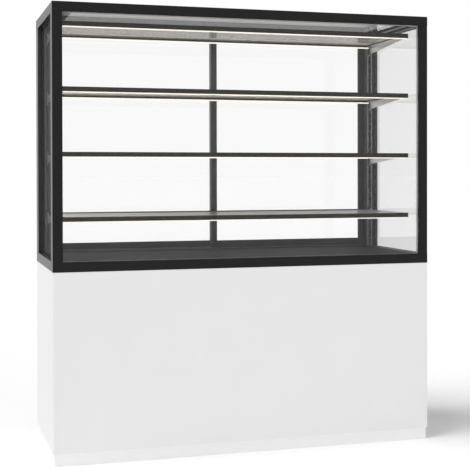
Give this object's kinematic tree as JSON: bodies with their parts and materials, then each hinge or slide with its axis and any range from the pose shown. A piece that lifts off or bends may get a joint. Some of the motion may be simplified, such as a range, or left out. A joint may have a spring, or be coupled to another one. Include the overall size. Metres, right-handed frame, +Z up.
{
  "type": "bakery display case",
  "caption": "Free-standing glazed display case on a white panelled base, with lit glass shelves on slotted uprights and sliding rear glass doors.",
  "frame": {"origin": "on the floor, below the middle of the case", "axes": "+X to the right along the front, +Y from the front to the back, +Z up"},
  "size_m": [1.2, 0.5, 1.375],
  "materials": {
    "white_board": "white laminate on board, satin",
    "black_frame": "satin black powder coat",
    "clear_glass": "clear toughened glass",
    "dark_deck": "dark grey powder coat",
    "dark_aluminium": "dark anodised",
    "zinc": "zinc plated",
    "warm_light": "lit warm white diffuser",
    "black_plastic": "fine textured",
    "bare_aluminium": "mill finish"
  },
  "bodies": {
    "case": {"plinth": "white_board", "base_front_panel": "white_board", "base_left_panel": "white_board", "base_right_panel": "white_board", "base_rear_panel": "white_board", "base_bottom_board": "white_board", "base_top_board": "white_board", "front_bottom_rail": "black_frame", "rear_bottom_rail": "black_frame", "left_bottom_rail": "black_frame", "right_bottom_rail": "black_frame", "front_left_post": "black_frame", "front_right_post": "black_frame", "rear_left_post": "black_frame", "rear_right_post": "black_frame", "front_top_rail": "black_frame", "rear_top_rail": "black_frame", "left_top_rail": "black_frame", "right_top_rail": "black_frame", "front_glass": "clear_glass", "left_glass": "clear_glass", "right_glass": "clear_glass", "roof_glass": "clear_glass", "deck_tray": "dark_deck", "left_upright": "black_frame", "right_upright": "black_frame", "door_track": "bare_aluminium", "shelf_1_frame": "dark_aluminium", "shelf_2_frame": "dark_aluminium", "shelf_3_frame": "dark_aluminium", "shelf_4_frame": "dark_aluminium", "shelf_1_glass": "clear_glass", "shelf_2_glass": "clear_glass", "shelf_3_glass": "clear_glass", "shelf_4_glass": "clear_glass", "shelf_1_front_light": "warm_light", "shelf_2_front_light": "warm_light", "shelf_3_front_light": "warm_light", "shelf_4_front_light": "warm_light", "shelf_1_rear_light": "warm_light", "shelf_2_rear_light": "warm_light", "shelf_3_rear_light": "warm_light", "shelf_4_rear_light": "warm_light", "shelf_1_left_bracket": "zinc", "shelf_2_left_bracket": "zinc", "shelf_3_left_bracket": "zinc", "shelf_4_left_bracket": "zinc", "shelf_1_right_bracket": "zinc", "shelf_2_right_bracket": "zinc", "shelf_3_right_bracket": "zinc", "shelf_4_right_bracket": "zinc", "light_power_supply": "bare_aluminium", "light_switch_housing": "black_plastic", "cable_gland": "black_plastic"},
    "left_door": {"left_door_frame": "black_frame", "left_door_glass": "clear_glass"},
    "right_door": {"right_door_frame": "black_frame", "right_door_glass": "clear_glass"},
    "light_switch": {"light_switch_rocker": "black_plastic"}
  },
  "joints": [
    {"name": "right_door_slide", "type": "slide", "parent": "case", "child": "right_door", "axis": [-1, 0, 0], "range_m": [0, 0.555]},
    {"name": "left_door_slide", "type": "slide", "parent": "case", "child": "left_door", "axis": [1, 0, 0], "range_m": [0, 0.55]},
    {"name": "light_switch_tilt", "type": "hinge", "parent": "case", "child": "light_switch", "pos_m": [0.48, 0.2313, 0.5], "axis": [1, 0, 0], "range_deg": [0, 16]}
  ]
}
